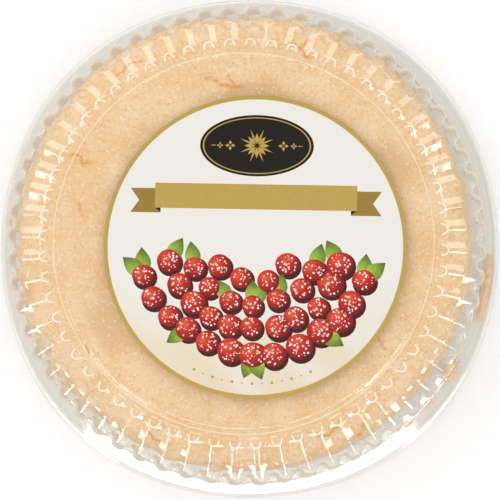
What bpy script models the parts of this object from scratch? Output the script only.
"""A baked meringue cake in its clear round pack.

Four pieces, nested on one upright axis: a shallow clear tray, the meringue that stands on it,
a clear domed lid with ribs round its shoulder and wall, and a round paper label on the lid.
Metres, +Z up, origin at the middle of the tray's underside.
"""
import math
import random

import bmesh
import bpy

# The clear sheet and the gap that pieces in contact keep.
SHEET = 0.0006
GAP = 0.0003

# Round pieces: corners in a plain ring, and corners a rib adds to a ribbed ring.
RING_CORNERS = 60
RIB_COUNT = 60
RIB_CORNERS = 4

# The rim is a little square: its radius grows towards the four diagonals.
RIM_RADIUS = 0.1350
RIM_SQUARENESS = 0.0096
ROUND_INSIDE = 0.1265

# Lid, from the panel down to the lip.
LID_TOP = 0.0600
PANEL_RADIUS = 0.0954
PANEL_FOOT_RADIUS = 0.0967
PANEL_STEP = 0.0010
BAND_RADIUS = 0.1260
BAND_TOP = 0.0142
FLANGE_TOP = 0.0091
LIP_DROP = 0.0035
LIP_ROUNDING = 0.0013

# Ribs, one row for each station along a rib from its inner tip to its foot on the wall:
# crest radius, crest height, foot radius, foot height, half width between the feet. The second
# row's crest lies further out than its feet, which gives each rib a slanted end like a thumbnail.
RIB_STATIONS = (
    (0.0995, 0.0586, 0.0995, 0.0586, 0.0027),
    (0.1042, 0.0600, 0.0999, 0.0585, 0.0027),
    (0.1130, 0.0583, 0.1121, 0.0554, 0.0035),
    (0.1205, 0.0542, 0.1182, 0.0515, 0.0045),
    (0.1245, 0.0480, 0.1209, 0.0479, 0.0047),
    (0.1254, 0.0150, 0.1218, 0.0150, 0.0047),
)
RIB_CREST_SHARE = 0.45

# Tray, from its floor out to the rim that the lid's lip closes over.
FLOOR_RADIUS = 0.1160
CHANNEL_INNER = 0.1184
CHANNEL_FLOOR = 0.0040
CHANNEL_OUTER = 0.1308
TRAY_RIM_INNER = 0.1320
TRAY_RIM_OUTER = RIM_RADIUS - LIP_ROUNDING - SHEET

# Meringue: side profile as shares of its largest radius and of its height.
MERINGUE_RADIUS = 0.1170
MERINGUE_FOOT = SHEET + GAP
MERINGUE_TOP = 0.0553
MERINGUE_PROFILE = (
    (0.962, 0.00),
    (0.984, 0.06),
    (0.998, 0.26),
    (1.000, 0.62),
    (0.990, 0.80),
    (0.962, 0.91),
    (0.905, 0.968),
    (0.800, 0.985),
    (0.450, 1.00),
)
EDGE_WAVES = (3, 5, 8, 13, 19, 27)
EDGE_WAVE_DEPTH = 0.0017
EDGE_SEED = 11

# Label, a little off the middle of the panel.
LABEL_RADIUS = 0.0773
LABEL_SHEET = 0.0003
LABEL_CENTRE = (0.0062, -0.0022)
LABEL_CORNERS = 64

SMOOTH_BELOW = math.radians(32)

# Colours as linear red, green, blue.
CLEAR_GREY = (0.80, 0.82, 0.79)
BAKED_PEACH = (0.86, 0.60, 0.36)
LABEL_CREAM = (0.87, 0.84, 0.78)


def clear_scene():
    """Removes every object, so that the script starts from nothing."""
    for item in list(bpy.data.objects):
        bpy.data.objects.remove(item, do_unlink=True)


def surface(name, colour, roughness, clearness=0.0):
    """One Principled material."""
    material = bpy.data.materials.new(name)
    material.use_nodes = True
    shader = material.node_tree.nodes["Principled BSDF"]
    shader.inputs["Base Color"].default_value = (*colour, 1.0)
    shader.inputs["Roughness"].default_value = roughness
    shader.inputs["Metallic"].default_value = 0.0
    shader.inputs["Transmission Weight"].default_value = clearness
    return material


def clear_plastic(name):
    """Clear polyester sheet, drawn down over a mould."""
    return surface(name, CLEAR_GREY, roughness=0.08, clearness=0.85)


def add_part(name, mesh_maker, material, parts):
    """Links one finished bmesh into the parts' collection as a named object."""
    mesh = bpy.data.meshes.new(name)
    mesh_maker.to_mesh(mesh)
    mesh_maker.free()
    mesh.materials.append(material)
    mesh.shade_smooth()
    mesh.set_sharp_from_angle(angle=SMOOTH_BELOW)
    part = bpy.data.objects.new(name, mesh)
    parts.objects.link(part)
    return part


def thicken(part):
    """Gives a sheet its wall, on the side away from its normals."""
    wall = part.modifiers.new("wall", "SOLIDIFY")
    wall.thickness = SHEET
    wall.offset = -1.0
    wall.use_even_offset = True
    return wall


def squared(radius, angle):
    """A radius near the rim, grown on the diagonals; further in it stays round."""
    share = (radius - ROUND_INSIDE) / (RIM_RADIUS - ROUND_INSIDE)
    share = min(max(share, 0.0), 1.0)
    return radius * (1.0 - share * RIM_SQUARENESS * math.cos(4.0 * angle))


def turned(profile, corners):
    """A surface turned about +Z from points (radius, height), the first one on the axis."""
    sheet = bmesh.new()
    points = [sheet.verts.new((radius, 0.0, height)) for radius, height in profile]
    edges = [sheet.edges.new(pair) for pair in zip(points, points[1:])]
    bmesh.ops.spin(
        sheet,
        geom=points + edges,
        cent=(0.0, 0.0, 0.0),
        axis=(0.0, 0.0, 1.0),
        angle=2.0 * math.pi,
        steps=corners,
        use_merge=True,
    )
    bmesh.ops.remove_doubles(sheet, verts=sheet.verts, dist=1e-6)
    return sheet


def face_up(sheet):
    """Turns a sheet's normals so that the middle of it faces up."""
    bmesh.ops.recalc_face_normals(sheet, faces=sheet.faces)
    middle = min(sheet.faces, key=lambda face: face.calc_center_median().xy.length)
    if middle.normal.z < 0.0:
        bmesh.ops.reverse_faces(sheet, faces=sheet.faces)


def make_squarer(sheet):
    """Moves the points near the rim out to the slightly square outline."""
    for point in sheet.verts:
        radius = point.co.xy.length
        if radius > ROUND_INSIDE:
            angle = math.atan2(point.co.y, point.co.x)
            point.co.xy *= squared(radius, angle) / radius


def make_tray(parts):
    """The shallow tray: a flat floor, a channel round it and a raised rim."""
    profile = (
        (0.0, SHEET),
        (FLOOR_RADIUS, SHEET),
        (CHANNEL_INNER, CHANNEL_FLOOR + SHEET),
        (CHANNEL_OUTER, CHANNEL_FLOOR + SHEET),
        (TRAY_RIM_INNER, FLANGE_TOP - SHEET - GAP),
        (TRAY_RIM_OUTER, FLANGE_TOP - SHEET - GAP),
    )
    sheet = turned(profile, RING_CORNERS)
    make_squarer(sheet)
    face_up(sheet)
    tray = add_part("tray", sheet, clear_plastic("clear_tray_sheet"), parts)
    thicken(tray)
    return tray


def plain_ring(sheet, radius, height):
    """One ring of points with no ribs."""
    ring = []
    for corner in range(RING_CORNERS):
        angle = 2.0 * math.pi * corner / RING_CORNERS
        reach = squared(radius, angle)
        ring.append(sheet.verts.new((reach * math.cos(angle), reach * math.sin(angle), height)))
    return ring


def ribbed_ring(sheet, crest_radius, crest_height, foot_radius, foot_height, half_width):
    """One ring of points that climbs each rib: foot, crest, crest, foot."""
    foot = (1.0, foot_radius, foot_height)
    crest = (RIB_CREST_SHARE, crest_radius, crest_height)
    ring = []
    for rib in range(RIB_COUNT):
        middle = 2.0 * math.pi * (rib + 0.5) / RIB_COUNT
        for side, (share, radius, height) in ((-1, foot), (-1, crest), (1, crest), (1, foot)):
            angle = middle + side * share * half_width / crest_radius
            ring.append(sheet.verts.new((radius * math.cos(angle), radius * math.sin(angle), height)))
    return ring


def join_rings(sheet, upper, lower):
    """Quads between two rings with the same number of points."""
    for corner, point in enumerate(upper):
        following = (corner + 1) % len(upper)
        sheet.faces.new((point, lower[corner], lower[following], upper[following]))


def join_to_ribs(sheet, plain, ribbed):
    """Fans between a plain ring and a ribbed one, one span of the plain ring for each rib."""
    for corner, point in enumerate(plain):
        following = plain[(corner + 1) % RING_CORNERS]
        first = corner * RIB_CORNERS
        foot, crest, crest_after, foot_after = ribbed[first:first + RIB_CORNERS]
        last_foot = ribbed[first - 1]
        sheet.faces.new((point, last_foot, foot))
        sheet.faces.new((point, foot, crest))
        sheet.faces.new((point, crest, crest_after, following))
        sheet.faces.new((following, crest_after, foot_after))


def make_lid(parts):
    """The domed lid: a flat panel, ribs over the shoulder and wall, a plain band, a flange and a lip."""
    sheet = bmesh.new()
    panel = plain_ring(sheet, PANEL_RADIUS, LID_TOP)
    panel_foot = plain_ring(sheet, PANEL_FOOT_RADIUS, LID_TOP - PANEL_STEP)
    ribbed = [ribbed_ring(sheet, *station) for station in RIB_STATIONS]
    band_top = plain_ring(sheet, BAND_RADIUS, BAND_TOP)
    band_foot = plain_ring(sheet, BAND_RADIUS, FLANGE_TOP)
    flange = plain_ring(sheet, RIM_RADIUS - LIP_ROUNDING, FLANGE_TOP)
    lip_top = plain_ring(sheet, RIM_RADIUS, FLANGE_TOP - LIP_ROUNDING)
    lip_foot = plain_ring(sheet, RIM_RADIUS, FLANGE_TOP - LIP_DROP)
    sheet.faces.new(panel)
    join_rings(sheet, panel, panel_foot)
    join_to_ribs(sheet, panel_foot, ribbed[0])
    for upper, lower in zip(ribbed, ribbed[1:]):
        join_rings(sheet, upper, lower)
    join_to_ribs(sheet, band_top, ribbed[-1])
    for upper, lower in ((band_top, band_foot), (band_foot, flange), (flange, lip_top), (lip_top, lip_foot)):
        join_rings(sheet, upper, lower)
    face_up(sheet)
    lid = add_part("lid", sheet, clear_plastic("clear_lid_sheet"), parts)
    thicken(lid)
    return lid


def edge_wander():
    """A function of angle, from about -1 to 1, that makes the cake's edge uneven."""
    dice = random.Random(EDGE_SEED)
    waves = [(count, dice.uniform(0.5, 1.0), dice.uniform(0.0, 2.0 * math.pi)) for count in EDGE_WAVES]
    total = sum(weight for _, weight, _ in waves)

    def wander(angle):
        return sum(weight * math.sin(count * angle + phase) for count, weight, phase in waves) / total

    return wander


def make_meringue(parts):
    """The cake: one solid with upright sides, a rounded top edge and an uneven outline."""
    height = MERINGUE_TOP - MERINGUE_FOOT
    profile = [(0.0, MERINGUE_FOOT)]
    profile += [(MERINGUE_RADIUS * reach, MERINGUE_FOOT + height * rise) for reach, rise in MERINGUE_PROFILE]
    profile.append((0.0, MERINGUE_TOP))
    cake = turned(profile, RING_CORNERS)
    wander = edge_wander()
    for point in cake.verts:
        radius = point.co.xy.length
        if radius > 0.0:
            angle = math.atan2(point.co.y, point.co.x)
            rise = (point.co.z - MERINGUE_FOOT) / height
            reach = radius / MERINGUE_RADIUS
            point.co.xy *= 1.0 + EDGE_WAVE_DEPTH / radius * wander(angle) * reach ** 4 * min(1.0, rise * 8.0)
    bmesh.ops.recalc_face_normals(cake, faces=cake.faces)
    return add_part("pavlova", cake, surface("baked_meringue", BAKED_PEACH, roughness=0.85), parts)


def make_label(parts):
    """The round paper label on the panel."""
    disc = bmesh.new()
    bmesh.ops.create_cone(
        disc,
        cap_ends=True,
        segments=LABEL_CORNERS,
        radius1=LABEL_RADIUS,
        radius2=LABEL_RADIUS,
        depth=LABEL_SHEET,
    )
    label = add_part("label", disc, surface("label_paper", LABEL_CREAM, roughness=0.45), parts)
    label.location = (*LABEL_CENTRE, LID_TOP + GAP + LABEL_SHEET / 2.0)
    return label


def main():
    clear_scene()
    parts = bpy.data.collections.new("pavlova_pack")
    bpy.context.scene.collection.children.link(parts)
    make_tray(parts)
    make_meringue(parts)
    make_lid(parts)
    make_label(parts)


main()
